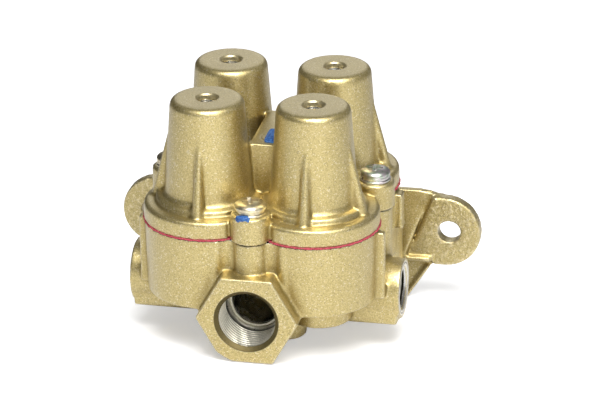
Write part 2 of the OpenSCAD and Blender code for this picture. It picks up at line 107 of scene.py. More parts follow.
def circuit_axis(corner, z=0.0):
    """A point on one circuit's axis, z millimetres above the supply port's axis."""
    sx, sy = CORNERS[corner]
    return MIDDLE + Vector((sx * HALF_PITCH, sy * HALF_PITCH, z * MM))


def screw_axis(name, height):
    """A point on one cover screw's axis, at a height in metres."""
    a = math.radians(SCREWS[name])
    return Vector((MIDDLE.x + math.cos(a) * SCREW_REACH,
                   MIDDLE.y + math.sin(a) * SCREW_REACH, height))


# ---- Materials ----

class Nodes:
    """Short calls for building one material's node tree."""

    def __init__(self, name):
        self.material = bpy.data.materials.new(name)
        self.material.use_nodes = True
        self.tree = self.material.node_tree
        self.shader = self.tree.nodes["Principled BSDF"]
        self.place = self.add("ShaderNodeTexCoord").outputs["Object"]

    def add(self, kind, **settings):
        node = self.tree.nodes.new(kind)
        for key, value in settings.items():
            setattr(node, key, value)
        return node

    def feed(self, socket, value):
        if isinstance(value, bpy.types.NodeSocket):
            self.tree.links.new(value, socket)
        elif socket.type == "RGBA":
            socket.default_value = tuple(value)[:3] + (1.0,)
        else:
            socket.default_value = value

    def noise(self, size, detail=2.0, rough=0.5):
        """Noise whose lumps are about size metres across."""
        node = self.add("ShaderNodeTexNoise")
        self.feed(node.inputs["Vector"], self.place)
        node.inputs["Scale"].default_value = 1.0 / size
        node.inputs["Detail"].default_value = detail
        node.inputs["Roughness"].default_value = rough
        return node.outputs["Fac"]

    def cells(self, size):
        """Cells about size metres across, each with one random value."""
        node = self.add("ShaderNodeTexVoronoi")
        self.feed(node.inputs["Vector"], self.place)
        node.inputs["Scale"].default_value = 1.0 / size
        return node.outputs["Color"]

    def remap(self, value, low, high, to_low=0.0, to_high=1.0):
        node = self.add("ShaderNodeMapRange")
        for socket, number in zip(node.inputs, (value, low, high, to_low, to_high)):
            self.feed(socket, number)
        return node.outputs[0]

    def math(self, operation, a, b=0.0):
        node = self.add("ShaderNodeMath", operation=operation)
        self.feed(node.inputs[0], a)
        self.feed(node.inputs[1], b)
        return node.outputs[0]

    def mix(self, share, a, b):
        node = self.add("ShaderNodeMix", data_type="RGBA")
        self.feed(node.inputs["Factor"], share)
        self.feed(node.inputs[6], a)
        self.feed(node.inputs[7], b)
        return node.outputs[2]

    def axis(self, name):
        """The object's own coordinate along X, Y or Z, in metres."""
        node = self.add("ShaderNodeSeparateXYZ")
        self.feed(node.inputs[0], self.place)
        return node.outputs[name]

    def distance(self, value, place):
        return self.math("ABSOLUTE", self.math("SUBTRACT", value, place))

    def hypotenuse(self, a, b):
        squares = self.math("ADD", self.math("MULTIPLY", a, a), self.math("MULTIPLY", b, b))
        return self.math("SQRT", squares)

    def hollow(self, reach, own=False):
        """1 in the open, falling to 0 deep in a corner. own: only the piece's own corners count."""
        node = self.add("ShaderNodeAmbientOcclusion", samples=8, only_local=own)
        node.inputs["Distance"].default_value = reach
        return node.outputs["AO"]

    def edge(self):
        """0.5 on flat surface, more on an edge that stands out, less in a crease."""
        node = self.add("ShaderNodeNewGeometry")
        return node.outputs["Pointiness"]

    def facing_up(self):
        """The vertical part of the surface's direction, 1 where it faces straight up."""
        split = self.add("ShaderNodeSeparateXYZ")
        self.feed(split.inputs[0], self.add("ShaderNodeNewGeometry").outputs["Normal"])
        return split.outputs["Z"]

    def bump(self, height, depth, strength=1.0, under=None):
        node = self.add("ShaderNodeBump")
        node.inputs["Distance"].default_value = depth
        self.feed(node.inputs["Strength"], strength)
        self.feed(node.inputs["Height"], height)
        if under is not None:
            self.feed(node.inputs["Normal"], under)
        return node.outputs["Normal"]

    def finish(self, colour, metal, rough, normal=None, **more):
        self.feed(self.shader.inputs["Base Color"], colour)
        self.feed(self.shader.inputs["Metallic"], metal)
        self.feed(self.shader.inputs["Roughness"], rough)
        if normal is not None:
            self.feed(self.shader.inputs["Normal"], normal)
        for key, value in more.items():
            self.feed(self.shader.inputs[key.replace("_", " ")], value)
        return self.material


def cast_paint():
    """Champagne-gold metallic paint over a cast skin, fettled roughly on the ears."""
    n = Nodes("cast_paint")
    x, y, z = n.axis("X"), n.axis("Y"), n.axis("Z")
    flake = n.cells(0.34 * MM)
    grain = n.noise(0.45 * MM, 3.0, 0.7)
    patch = n.noise(7 * MM, 3.0)
    colour = n.mix(n.remap(grain, 0.35, 0.65), (0.42, 0.32, 0.085), (0.74, 0.62, 0.30))
    colour = n.mix(n.remap(patch, 0.35, 0.7, 0.0, 0.3), colour, (0.54, 0.44, 0.20))
    dark_flake = n.math("LESS_THAN", flake, 0.17)
    colour = n.mix(n.math("MULTIPLY", dark_flake, 0.5), colour, (0.28, 0.20, 0.08))
    light_flake = n.math("GREATER_THAN", flake, 0.85)
    colour = n.mix(n.math("MULTIPLY", light_flake, 0.45), colour, (0.98, 0.93, 0.76))
    # Paler on edges, partly edge wear and partly painted highlight; dark in hollows and creases with
    # painted shade
    ragged_edge = n.math("ADD", n.edge(), n.remap(grain, 0.3, 0.7, -0.02, 0.02))
    edge_wear_and_highlight = n.remap(ragged_edge, 0.515, 0.56, 0.0, 0.25)
    colour = n.mix(edge_wear_and_highlight, colour, (0.93, 0.88, 0.70))
    # Painted shade: darker olive in hollows and in concave creases
    shade = n.remap(n.hollow(6 * MM, own=True), 0.30, 0.96, 0.92, 0.0)
    crease_shade = n.remap(n.edge(), 0.494, 0.465, 0.0, 0.75)
    shade = n.math("MAXIMUM", shade, crease_shade)
    colour = n.mix(shade, colour, (0.24, 0.165, 0.042))
    # Painted shade: faces that look straight up are darker olive
    level = n.remap(n.facing_up(), 0.86, 0.99, 0.0, 0.2)
    colour = n.mix(level, colour, (0.33, 0.27, 0.12))
    # The ears and the webs behind them are rough as cast
    ear = n.remap(n.math("ABSOLUTE", x), 0.0455, 0.0495)
    behind = n.remap(y, MIDDLE.y + 38 * MM, MIDDLE.y + 42 * MM)
    raw = n.math("MULTIPLY", ear, behind)
    lumps = n.noise(1.7 * MM, 4.0, 0.6)
    fine = n.bump(grain, 0.05 * MM, 0.9)
    peel = n.bump(n.noise(1.3 * MM, 3.0, 0.5), 0.05 * MM, 0.8, fine)
    cast = n.bump(lumps, 0.55 * MM, raw, peel)
    # Painted highlight: the tops of the cast lumps are paler
    lump_highlights = n.math("MULTIPLY", raw, n.remap(lumps, 0.50, 0.64, 0.0, 0.65))
    colour = n.mix(lump_highlights, colour, (0.90, 0.79, 0.50))
    # Lathe rings on the tower tops and round the port faces
    aside = [n.math("SUBTRACT", n.distance(value, middle), HALF_PITCH)
             for value, middle in ((x, MIDDLE.x), (y, MIDDLE.y))]
    from_circuit = n.hypotenuse(*aside)
    top = n.remap(z, COVER_HIGH.z - 0.25 * MM, COVER_HIGH.z - 0.1 * MM)
    rings = n.math("SINE", n.math("MULTIPLY", from_circuit, 2 * math.pi / (0.55 * MM)))
    turned = n.bump(rings, 0.02 * MM, n.math("MULTIPLY", top, 0.6), cast)
    from_port = n.hypotenuse(n.math("SUBTRACT", x, PORT.x), n.math("SUBTRACT", z, PORT.z))
    face = n.remap(y, BODY_LOW.y + 0.3 * MM, BODY_LOW.y + 0.1 * MM)
    rings = n.math("SINE", n.math("MULTIPLY", from_port, 2 * math.pi / (0.5 * MM)))
    turned = n.bump(rings, 0.012 * MM, n.math("MULTIPLY", face, 0.5), turned)
    # The side ports' faces are spot-faced bare, with a dark ring of painted shade for a groove
    side = mount("right_port")["pos_m"]
    from_side = n.hypotenuse(n.math("SUBTRACT", y, side[1]), n.math("SUBTRACT", z, side[2]))
    outermost = n.remap(n.math("ABSOLUTE", x), side[0] + 1.0 * MM, side[0] + 1.2 * MM)
    groove = n.math("LESS_THAN", n.distance(from_side, 9.1 * MM), 0.28 * MM)
    spot = n.mix(groove, (0.90, 0.87, 0.78), (0.10, 0.075, 0.03))
    spot_face = n.math("MULTIPLY", outermost, n.math("LESS_THAN", from_side, 9.9 * MM))
    bright = n.remap(grain, 0.3, 0.6, 0.55, 1.0)
    colour = n.mix(n.math("MULTIPLY", spot_face, bright), colour, spot)
    # The supply port's chamfer is rougher and darkened with painted shade, with dark chips
    inside = n.remap(from_port, 11.75 * MM, 11.6 * MM)
    in_front = n.remap(y, BODY_LOW.y + 1.9 * MM, BODY_LOW.y + 1.6 * MM)
    chamfer = n.math("MULTIPLY", inside, in_front)
    chips = n.remap(n.noise(0.7 * MM, 4.0, 0.7), 0.58, 0.66)
    chamfer_shade_and_chips = n.mix(chips, (0.13, 0.10, 0.04), (0.03, 0.02, 0.01))
    colour = n.mix(n.math("MULTIPLY", chamfer, 0.95), colour, chamfer_shade_and_chips)
    rough = n.math("ADD", n.remap(grain, 0.3, 0.7, 0.35, 0.45), n.math("MULTIPLY", chamfer, 0.2))
    gloss = n.math("SUBTRACT", 1.0, n.math("MAXIMUM", shade, chamfer))
    return n.finish(colour, 0.88, rough, turned, Coat_Weight=gloss, Coat_Roughness=0.38)


def bare_metal(name, colour, rough=0.28, grain_size=0.5 * MM, stain=None):
    """Machined or plated metal with fine tool marks and cloudy roughness, stain specks where a stain
    is given, and painted shade in its corners.
    """
    n = Nodes(name)
    grain = n.noise(grain_size, 4.0, 0.65)
    cloud = n.noise(3 * MM, 3.0)
    dark = tuple(c * 0.7 for c in colour)
    shade = n.mix(n.remap(grain, 0.3, 0.7), dark, colour)
    if stain is not None:
        specks = n.remap(n.noise(0.8 * MM, 4.0, 0.7), 0.66, 0.72)
        shade = n.mix(specks, shade, stain)
    # Painted shade: darker in corners
    corner = n.remap(n.hollow(2 * MM), 0.1, 0.8, 0.7, 0.0)
    shade = n.mix(corner, shade, tuple(c * 0.2 for c in colour))
    normal = n.bump(grain, 0.012 * MM, 0.6)
    return n.finish(shade, 1.0, n.remap(cloud, 0.3, 0.7, rough * 0.8, rough * 1.3), normal)


def cut_thread():
    """Freshly cut thread: bright crests and roots darkened with painted shade, from what the sleeves
    mark as rise.
    """
    n = Nodes("cut_thread")
    grain = n.noise(0.35 * MM, 4.0, 0.7)
    shade = n.mix(n.remap(grain, 0.3, 0.7), (0.62, 0.58, 0.45), (0.92, 0.89, 0.78))
    specks = n.remap(n.noise(0.9 * MM, 4.0, 0.7), 0.66, 0.72)
    shade = n.mix(specks, shade, (0.12, 0.09, 0.04))
    rise = n.add("ShaderNodeAttribute", attribute_name="rise").outputs["Fac"]
    # Painted shade: darker towards the thread's roots
    shade = n.mix(n.remap(rise, 0.2, 0.55), shade, (0.04, 0.034, 0.02))
    return n.finish(shade, 0.9, n.remap(grain, 0.3, 0.7, 0.34, 0.5), n.bump(grain, 0.02 * MM, 0.7))


def zinc_plate():
    """Zinc plating: yellow passivated on the front and left screws, clear on the others."""
    n = Nodes("zinc_plate")
    grain = n.noise(0.5 * MM, 4.0, 0.6)
    cloud = n.noise(1.5 * MM, 3.0)
    yellow = n.mix(n.remap(cloud, 0.4, 0.6), (0.90, 0.83, 0.58), (0.70, 0.60, 0.42))
    clear = n.mix(n.remap(cloud, 0.42, 0.6), (0.72, 0.66, 0.68), (0.52, 0.60, 0.50))
    is_yellow = n.math("MAXIMUM", n.math("LESS_THAN", n.axis("Y"), MIDDLE.y - 30 * MM),
                       n.math("LESS_THAN", n.axis("X"), MIDDLE.x - 30 * MM))
    colour = n.mix(is_yellow, clear, yellow)
    # Painted shade: darker in the recess and in corners
    colour = n.mix(n.remap(n.hollow(1.2 * MM), 0.10, 0.8, 0.8, 0.0), colour, (0.05, 0.045, 0.035))
    return n.finish(colour, 1.0, n.remap(grain, 0.3, 0.7, 0.27, 0.42), n.bump(grain, 0.04 * MM, 0.9))


def soft_material(name, colour, light, rough=0.75, size=0.4 * MM):
    """Rubber or moulded plastic."""
    n = Nodes(name)
    grain = n.noise(size, 4.0, 0.7)
    shade = n.mix(n.remap(grain, 0.35, 0.65), colour, light)
    return n.finish(shade, 0.0, rough, n.bump(grain, 0.05 * MM, 0.8))


def red_gasket():
    """Red fibre sheet, with painted shadow under its edge and painted shade in the gap round the screw
    bosses.
    """
    n = Nodes("red_gasket")
    grain = n.noise(0.5 * MM, 4.0, 0.75)
    colour = n.mix(n.remap(grain, 0.38, 0.62), (0.22, 0.012, 0.025), (0.58, 0.095, 0.125))
    middle = (GASKET_LOW.z + GASKET_HIGH.z) / 2
    # Painted shadow: the lower part of the gasket's edge is darker
    ragged = n.math("ADD", n.axis("Z"), n.remap(grain, 0.3, 0.7, -0.1 * MM, 0.1 * MM))
    under = n.remap(ragged, middle - 0.05 * MM, middle - 0.25 * MM)
    colour = n.mix(under, colour, (0.02, 0.008, 0.008))
    # Painted shade: near the screw bosses, where the gasket lies back in the gap, it is almost black
    aside = [n.distance(n.axis("X"), MIDDLE.x), n.distance(n.axis("Y"), MIDDLE.y)]
    far = n.math("MAXIMUM", *aside)
    near = n.math("MINIMUM", *aside)
    from_screw = n.hypotenuse(n.math("SUBTRACT", far, SCREW_REACH), near)
    colour = n.mix(n.remap(from_screw, 6.6 * MM, 7.2 * MM), (0.01, 0.008, 0.006), colour)
    return n.finish(colour, 0.0, 0.8, n.bump(grain, 0.12 * MM, 0.9))


def lacquer():
    """Blue sealing lacquer, uneven in thickness."""
    n = Nodes("seal_lacquer")
    grain = n.noise(0.7 * MM, 3.0)
    colour = n.mix(n.remap(grain, 0.38, 0.62), (0.006, 0.05, 0.23), (0.05, 0.17, 0.44))
    return n.finish(colour, 0.0, 0.55, n.bump(grain, 0.12 * MM, 0.8))


MATERIALS = {
    "cast_paint": cast_paint(),
    "zinc_plate": zinc_plate(),
    "bright_steel": bare_metal("bright_steel", (0.80, 0.80, 0.80), 0.2),
    "dark_steel": bare_metal("dark_steel", (0.30, 0.31, 0.33), 0.35),
    "spring_steel": bare_metal("spring_steel", (0.36, 0.37, 0.40), 0.3),
    "bare_aluminium": bare_metal("bare_aluminium", (0.86, 0.85, 0.80), 0.24, 0.4 * MM,
                                 (0.30, 0.29, 0.26)),
    "cut_thread": cut_thread(),
    "seat_brass": bare_metal("seat_brass", (0.76, 0.58, 0.28), 0.25),
    "red_gasket": red_gasket(),
    "black_rubber": soft_material("black_rubber", (0.012, 0.012, 0.012), (0.03, 0.03, 0.03)),
    "valve_plastic": soft_material("valve_plastic", (0.02, 0.02, 0.022), (0.05, 0.05, 0.05), 0.45),
    "seal_lacquer": lacquer(),
}


def paint(obj, *slots):
    obj.data.materials.clear()
    for slot in slots:
        obj.data.materials.append(MATERIALS[slot])
    return obj


for part in frame["record"]["subparts"]:
    paint(frame["nodes"][part["node"]], part["material_slot"])


# ---- Meshes ----

def make(name, points, faces, slot, smooth=True, replaced=(), body="housing"):
    """A closed mesh piece from points and faces, with its normals turned outwards."""
    mesh = bpy.data.meshes.new(name)
    mesh.from_pydata([tuple(p) for p in points], [], faces)
    tidy = bmesh.new()
    tidy.from_mesh(mesh)
    bmesh.ops.recalc_face_normals(tidy, faces=tidy.faces)
    tidy.to_mesh(mesh)
    tidy.free()
    if smooth:
        mesh.shade_smooth()
        mesh.set_sharp_from_angle(angle=math.radians(38))
    obj = bpy.data.objects.new(name, mesh)
    bpy.context.scene.collection.objects.link(obj)
    return dress(obj, slot, replaced, body)


def dress(obj, slot, replaced=(), body="housing"):
    """Gives a piece its material and its body, and hides the CAD nodes that it stands for."""
    paint(obj, slot)
    if body is not None:
        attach(obj, body)
    if replaced:
        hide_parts(*replaced)
    return obj


def baked(obj):
    """obj with its modifiers worked into its mesh."""
    graph = bpy.context.evaluated_depsgraph_get()
    mesh = bpy.data.meshes.new_from_object(obj.evaluated_get(graph))
    obj.modifiers.clear()
    obj.data = mesh
    return obj


def grid_faces(rows, columns, closed_rows=False):
    """Quads between rows of points, each row a closed ring of columns points."""
    faces = []
    for i in range(rows if closed_rows else rows - 1):
        for k in range(columns):
            a, b = i * columns + k, i * columns + (k + 1) % columns
            c = ((i + 1) % rows) * columns
            faces.append((a, b, c + (k + 1) % columns, c + k))
    return faces


def lathe_points(profile, steps, centre):
    """Rings of points about a vertical axis, from (radius, height) pairs in metres."""
    return [centre + Vector((r * math.cos(t), r * math.sin(t), z))
            for r, z in profile for t in (2 * math.pi * k / steps for k in range(steps))]


def lathe(name, profile, centre, slot, steps=72, closed=False, **more):
    """A turned piece. closed: the profile is a loop, as on a washer; otherwise its ends get caps."""
    points = lathe_points(profile, steps, centre)
    faces = grid_faces(len(profile), steps, closed)
    if not closed:
        last = (len(profile) - 1) * steps
        faces += [tuple(range(steps)), tuple(last + k for k in range(steps))]
    return make(name, points, faces, slot, **more)


# ---- Cast skins ----

class Axis:
    """The line from start to end, about which a machined feature lies."""

    def __init__(self, start, end):
        self.start = np.array(start)
        self.length = (Vector(end) - Vector(start)).length
        self.axis = np.array((Vector(end) - Vector(start)).normalized())

    def measure(self, points):
        """Each point's place along the line, its offset from the line and its distance from it."""
        along = (points - self.start) @ self.axis
        out = points - self.start - along[:, None] * self.axis
        return along, out, np.maximum(np.linalg.norm(out, axis=1), 1e-9)

    def onto(self, along, out, share):
        """Points that far along the line, with their offsets from it scaled by share."""
        return self.start + along[:, None] * self.axis + out * share[:, None]


class Wall(Axis):
    """A machined wall about a line, put back to its radius after relaxing."""

    def __init__(self, start, end, radius, end_radius=None, wanted=None):
        super().__init__(start, end)
        self.radius = radius
        self.end_radius = radius if end_radius is None else end_radius
        self.wanted = wanted

    def restore(self, points, original, reach):
        along, out, distance = self.measure(original)
        share = np.clip(along / self.length, 0, 1)
        radius = self.radius + (self.end_radius - self.radius) * share
        beside = (along > -reach / 2) & (along < self.length + reach / 2)
        mine = (np.abs(distance - radius) < reach) & beside
        wanted = radius if self.wanted is None else np.full(len(radius), self.wanted)
        points[mine] = self.onto(along, out, wanted / distance)[mine]


class Face:
    """A machined flat face: points on it go back to its plane."""

    def __init__(self, point, normal, reach_out, crisp=False):
        self.point, self.normal, self.reach_out = np.array(point), np.array(normal, float), reach_out
        self.crisp = crisp

    def restore(self, points, original, reach):
        off = (original - self.point) @ self.normal
        flat = original - self.point - off[:, None] * self.normal
        mine = (np.abs(off) < reach) & (np.linalg.norm(flat, axis=1) < self.reach_out)
        points[mine] -= (((points - self.point) @ self.normal)[:, None] * self.normal)[mine]

    def keep_edge(self, points, weight, depth=1.1 * MM):
        """Less relaxing close to the face, so that its edge stays crisp."""
        off = (points - self.point) @ self.normal
        flat = points - self.point - off[:, None] * self.normal
        near = np.linalg.norm(flat, axis=1) < self.reach_out
        close = np.clip(np.abs(off) / depth - 0.1, 0.0, 1.0)
        return np.where(near, np.minimum(weight, close), weight)


class Clear(Axis):
    """Room for a separate ring: points between two radii go out to a wanted one."""

    def __init__(self, start, end, inner, outer, wanted):
        super().__init__(start, end)
        self.inner, self.outer, self.wanted = inner, outer, wanted

    def restore(self, points, original, _reach):
        along, out, distance = self.measure(original)
        beside = (along > 0) & (along < self.length)
        mine = beside & (distance > self.inner) & (distance < self.outer)
        points[mine] = self.onto(along, out, self.wanted / distance)[mine]


def relax(points, edges, rounds, weight):
    """Moves every point towards the middle of its neighbours, as far as its weight says."""
    count = len(points)
    a, b = edges[:, 0], edges[:, 1]
    degree = np.bincount(a, minlength=count) + np.bincount(b, minlength=count)
    for _ in range(rounds):
        total = np.stack([np.bincount(a, points[b, k], count)
                          + np.bincount(b, points[a, k], count) for k in range(3)], axis=1)
        points = points + 0.5 * weight[:, None] * (total / degree[:, None] - points)
    return points


def cast_skin(node, name, rounds, machined, bare):
    """The CAD node resampled and relaxed.

    machined: the walls and faces kept exact. bare: a function that tells the unpainted faces.
    """
    voxel = 0.48 * MM
    obj = bpy.data.objects.new(name, frame["nodes"][node].data.copy())
    bpy.context.scene.collection.objects.link(obj)
    resample = obj.modifiers.new("resample", "REMESH")
    resample.mode = "VOXEL"
    resample.voxel_size = voxel
    baked(obj)
    mesh = obj.data
    original = np.empty(len(mesh.vertices) * 3, np.float32)
    mesh.vertices.foreach_get("co", original)
    original = original.reshape(-1, 3).astype(float)
    edges = np.empty(len(mesh.edges) * 2, np.int32)
    mesh.edges.foreach_get("vertices", edges)
    weight = np.ones(len(original))
    for feature in machined:
        if isinstance(feature, Face) and feature.crisp:
            weight = feature.keep_edge(original, weight)
    points = relax(original.copy(), edges.reshape(-1, 2), rounds, weight)
    for feature in machined:
        feature.restore(points, original, 0.45 * voxel if isinstance(feature, Face) else 0.8 * voxel)
    mesh.vertices.foreach_set("co", points.astype(np.float32).ravel())
    mesh.update()
    mesh.shade_smooth()
    dress(obj, "cast_paint", [node])
    mesh.materials.append(MATERIALS["bare_aluminium"])
    centres = np.empty(len(mesh.polygons) * 3, np.float32)
    mesh.polygons.foreach_get("center", centres)
    mesh.polygons.foreach_set("material_index", bare(centres.reshape(-1, 3)).astype(np.int32))
    return obj


def distance_to_axis(points, start, direction):
    """(distance from the line, distance along it) of each point."""
    start, direction = np.array(start), np.array(direction, float)
    along = (points - start) @ direction
    return np.linalg.norm(points - start - along[:, None] * direction, axis=1), along


SUPPLY_THREAD = {"minor": 10.19 * MM, "major": 11.0 * MM, "chamfer": 11.55 * MM, "length": 14 * MM}
CIRCUIT_THREAD = {"minor": 7.19 * MM, "major": 8.0 * MM, "chamfer": 8.35 * MM, "length": 11 * MM}
PITCH = 1.5 * MM
SLEEVE = 0.3 * MM
# How far behind each port's mouth its mount lies, in millimetres
LEAD_IN = {"supply_port": 1.9, "left_port": 1.5, "right_port": 1.5,
           "rear_left_port": 1.6, "rear_right_port": 1.6}

# Bores on a circuit's axis, in millimetres above the supply port's axis: from, to and radius.
# A tower's bores have a radius at either end.
CHAMBER = (15, 26.2, 13.6)
DIAPHRAGM_SEAT = (26.2, 27.2, 17.05)
VALVE_SEAT = (12, 15, 7.02)
VALVE_BORE = (2, 12, 4.2)
NONRETURN_BORES = ((1, 12, 6.5), (-4.2, -1.2, 6.5), (-9, -4.2, 8.02))
TOWER_BORES = ((27.9, 31.3, 13.6, 13.6), (31.3, 40, 11, 11), (40, 62, 11, 10), (62, 71.2, 3.5, 3.5))
SCREW_HOLE_R = 3.25 * MM
# Reaches that take in the whole of the mounting face and the whole of the joint
WHOLE, WHOLE_JOINT = 200 * MM, 70 * MM


def port_mouth(name):
    """(middle of a port's mouth, direction into the port, its thread)."""
    inward = -Vector(mount(name)["axis"])
    mouth = Vector(mount(name)["pos_m"]) - inward * LEAD_IN[name] * MM
    return mouth, inward, SUPPLY_THREAD if name == "supply_port" else CIRCUIT_THREAD


def body_machined():
    """The lower body's machined faces and bores."""
    features = [Face((0, MIDDLE.y, GASKET_LOW.z), (0, 0, 1), WHOLE_JOINT, crisp=True)]
    for name in LEAD_IN:
        mouth, inward, thread = port_mouth(name)
        depth = thread["chamfer"] - thread["minor"]
        features.append(Wall(mouth, mouth + inward * depth, thread["chamfer"], thread["minor"]))
        features.append(Wall(mouth + inward * (depth + 0.3 * MM), mouth + inward * thread["length"],
                             thread["minor"], wanted=thread["major"] + SLEEVE))
        rim = 8 * MM if name == "supply_port" else 3.2 * MM
        features.append(Face(mouth, inward, thread["chamfer"] + rim, crisp=True))
    back = Vector((0, 1, 0))
    for s in (-1, 1):
        hole = Vector((s * EAR_X, -8 * MM, 0))
        features.append(Wall(hole, hole + back * 9 * MM, EAR_HOLE_R))
    features.append(Face((0, 0, 0), (0, 1, 0), WHOLE))
    # Behind the supply port's thread the skin makes room for the sleeve's groove and seat
    port = port_mouth("supply_port")[0]
    features.append(Wall(port + back * 17.8 * MM, port + back * 60 * MM, 7.5 * MM, wanted=8.8 * MM))
    features.append(Clear(port + back * 1.7 * MM, port + back * 18.2 * MM,
                          7 * MM, 11.2 * MM, 11.3 * MM))
    for corner in CORNERS:
        for bottom, top, radius in (CHAMBER, DIAPHRAGM_SEAT, VALVE_SEAT, VALVE_BORE):
            features.append(Wall(circuit_axis(corner, bottom), circuit_axis(corner, top), radius * MM))
    for corner in GUARDED:
        for bottom, top, radius in NONRETURN_BORES:
            features.append(Wall(circuit_axis(corner, bottom), circuit_axis(corner, top), radius * MM))
    return features


def body_bare(points):
    """Unpainted faces of the lower body: the joint face, the chambers and the bores."""
    bare = points[:, 2] > GASKET_LOW.z - 0.1 * MM
    for name in LEAD_IN:
        mouth, inward, thread = port_mouth(name)
        out, along = distance_to_axis(points, mouth, inward)
        depth = thread["chamfer"] - thread["minor"]
        reach = 60 * MM if name == "supply_port" else thread["length"] + 4 * MM
        bare |= (out < thread["major"] + 2 * SLEEVE) & (along > depth) & (along < reach)
    for corner in CORNERS:
        out, along = distance_to_axis(points, circuit_axis(corner), (0, 0, 1))
        bare |= (out < 13.9 * MM) & (along > 1 * MM)
    return bare


# Each tower's chamfered mouth: radius at the top, radius of the bore, and the ring's depth
MOUTH = {"top": 3.95 * MM, "bore": 3.5 * MM, "depth": 1.7 * MM}


def cover_machined():
    """The cover's machined faces and bores."""
    features = [Face((0, MIDDLE.y, GASKET_HIGH.z), (0, 0, 1), WHOLE_JOINT, crisp=True)]
    for corner in CORNERS:
        features.append(Face((*circuit_axis(corner).xy, COVER_HIGH.z), (0, 0, 1), 10 * MM))
        for bottom, top, radius, end_radius in TOWER_BORES:
            features.append(Wall(circuit_axis(corner, bottom), circuit_axis(corner, top),
                                 radius * MM, end_radius * MM))
        mouth = Vector((*circuit_axis(corner).xy, COVER_HIGH.z))
        down = Vector((0, 0, -1))
        features.append(Clear(mouth - down * 0.5 * MM, mouth + down * MOUTH["depth"], 2 * MM,
                              MOUTH["top"], MOUTH["top"]))
    for name in SCREWS:
        boss_top = screw_axis(name, WASHER_LOW.z)
        features.append(Face(boss_top, (0, 0, 1), 6 * MM))
        features.append(Wall(screw_axis(name, GASKET_HIGH.z), boss_top, SCREW_HOLE_R))
    return features


def cover_bare(points):
    """Unpainted faces of the cover: the joint face, the hollow towers and the screw threads."""
    bare = points[:, 2] < GASKET_HIGH.z + 0.1 * MM
    for corner in CORNERS:
        out, along = distance_to_axis(points, circuit_axis(corner), (0, 0, 1))
        bare |= (out < 14 * MM) & (along < 34 * MM)
        bare |= (out < 11.3 * MM) & (along < 63 * MM)
        bare |= (out < 3.7 * MM) & (along < 71.2 * MM)
    return bare


cast_skin("lower_body", "lower_body_casting", 8, body_machined(), body_bare)
cast_skin("cover", "cover_casting", 8, cover_machined(), cover_bare)


# ---- Threads ----

def ring_points(mouth, inward, rings):
    """Points of rings about a port's axis, each point given as (radius, depth)."""
    side = inward.orthogonal().normalized()
    other = inward.cross(side)
    points = []
    for ring in rings:
        for k, (radius, depth) in enumerate(ring):
            t = 2 * math.pi * k / len(ring)
            out = side * math.cos(t) + other * math.sin(t)
            points.append(mouth + inward * depth + out * radius)
    return points


def turned(name, mouth, inward, loop, slot, steps=128):
    """A ring turned about a port's axis, from a closed loop of (radius, depth)."""
    rings = [[pair] * steps for pair in loop]
    return make(name, ring_points(mouth, inward, rings), grid_faces(len(rings), steps, True), slot)


def thread_sleeve(port):
    """Bare wall of a port: a helical thread, and in the supply port a groove and a stepped seat."""
    mouth, inward, thread = port_mouth(port)
    steps, per_pitch = ((128, 14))
    start = thread["chamfer"] - thread["minor"]
    rows = int((thread["length"] - start) / PITCH * per_pitch) + 1
    minor, major = thread["minor"], thread["major"]
    crest, root = 0.30, 0.10
    rings, rises = [], []
    for i in range(rows):
        depth = start + (thread["length"] - start) * i / (rows - 1)
        ring = []
        for k in range(steps):
            turn = (depth / PITCH - k / steps) % 1.0
            rise = min(max((1 - abs(2 * turn - 1) - crest) / (1 - crest - root), 0.0), 1.0)
            ring.append((minor + (major - minor) * rise, depth))
            rises.append(rise)
        rings.append(ring)
    tail = [(major + SLEEVE * 0.9, thread["length"])]
    if port == "supply_port":
        # The groove behind the thread, then the stepped seat: (radius, depth) in millimetres
        seat = [(11.1, 14.05), (11.1, 15.5), (9.75, 15.55), (9.55, 15.75), (9.5, 17.2), (8.9, 17.3),
                (8.9, 18.5)]
        tail = [(r * MM, depth * MM) for r, depth in seat] + [(major + SLEEVE * 0.9, 18.5 * MM)]
    # Painted shade: dark in the groove, pale on the seat
    for radius, _depth in tail:
        rises += [0.6 if radius > major else 0.1] * steps
    rings += [[ring] * steps for ring in tail + [(major + SLEEVE * 0.9, start)]]
    sleeve = make(port + "_thread", ring_points(mouth, inward, rings),
                  grid_faces(len(rings), steps, True), "bare_aluminium")
    mark = sleeve.data.attributes.new("rise", "FLOAT", "POINT")
    mark.data.foreach_set("value", rises + [0.0] * (len(sleeve.data.vertices) - len(rises)))
    return paint(sleeve, "cut_thread")


def port_lip(port):
    """The chamfered lip in front of a port's thread: painted like the casting on the supply port, bare
    on the others.
    """
    mouth, inward, thread = port_mouth(port)
    deep = thread["chamfer"] - thread["minor"]
    proud = 0.04 * MM
    loop = [(thread["chamfer"] + 0.05 * MM, 0.0), (thread["minor"] - proud, deep),
            (thread["minor"] - proud, deep + 0.25 * MM), (thread["major"], deep + 0.3 * MM)]
    lip = turned(port + "_lip", mouth, inward, loop, "cast_paint")
    return lip if port == "supply_port" else paint(lip, "bare_aluminium")


def tower_mouth(corner):
    """The chamfer and the first of the bore at the top of a spring tower."""
    mouth = Vector((*circuit_axis(corner).xy, COVER_HIGH.z))
    wide, bore, depth = MOUTH["top"] + 0.05 * MM, MOUTH["bore"], MOUTH["depth"]
    loop = [(wide, 0.02 * MM), (bore, wide - bore), (bore, depth), (wide, depth)]
    return turned("tower_mouth_" + corner, mouth, Vector((0, 0, -1)), loop, "cast_paint", 64)


for port in LEAD_IN:
    thread_sleeve(port)
    port_lip(port)
for corner in CORNERS:
    tower_mouth(corner)


# ---- Fasteners ----

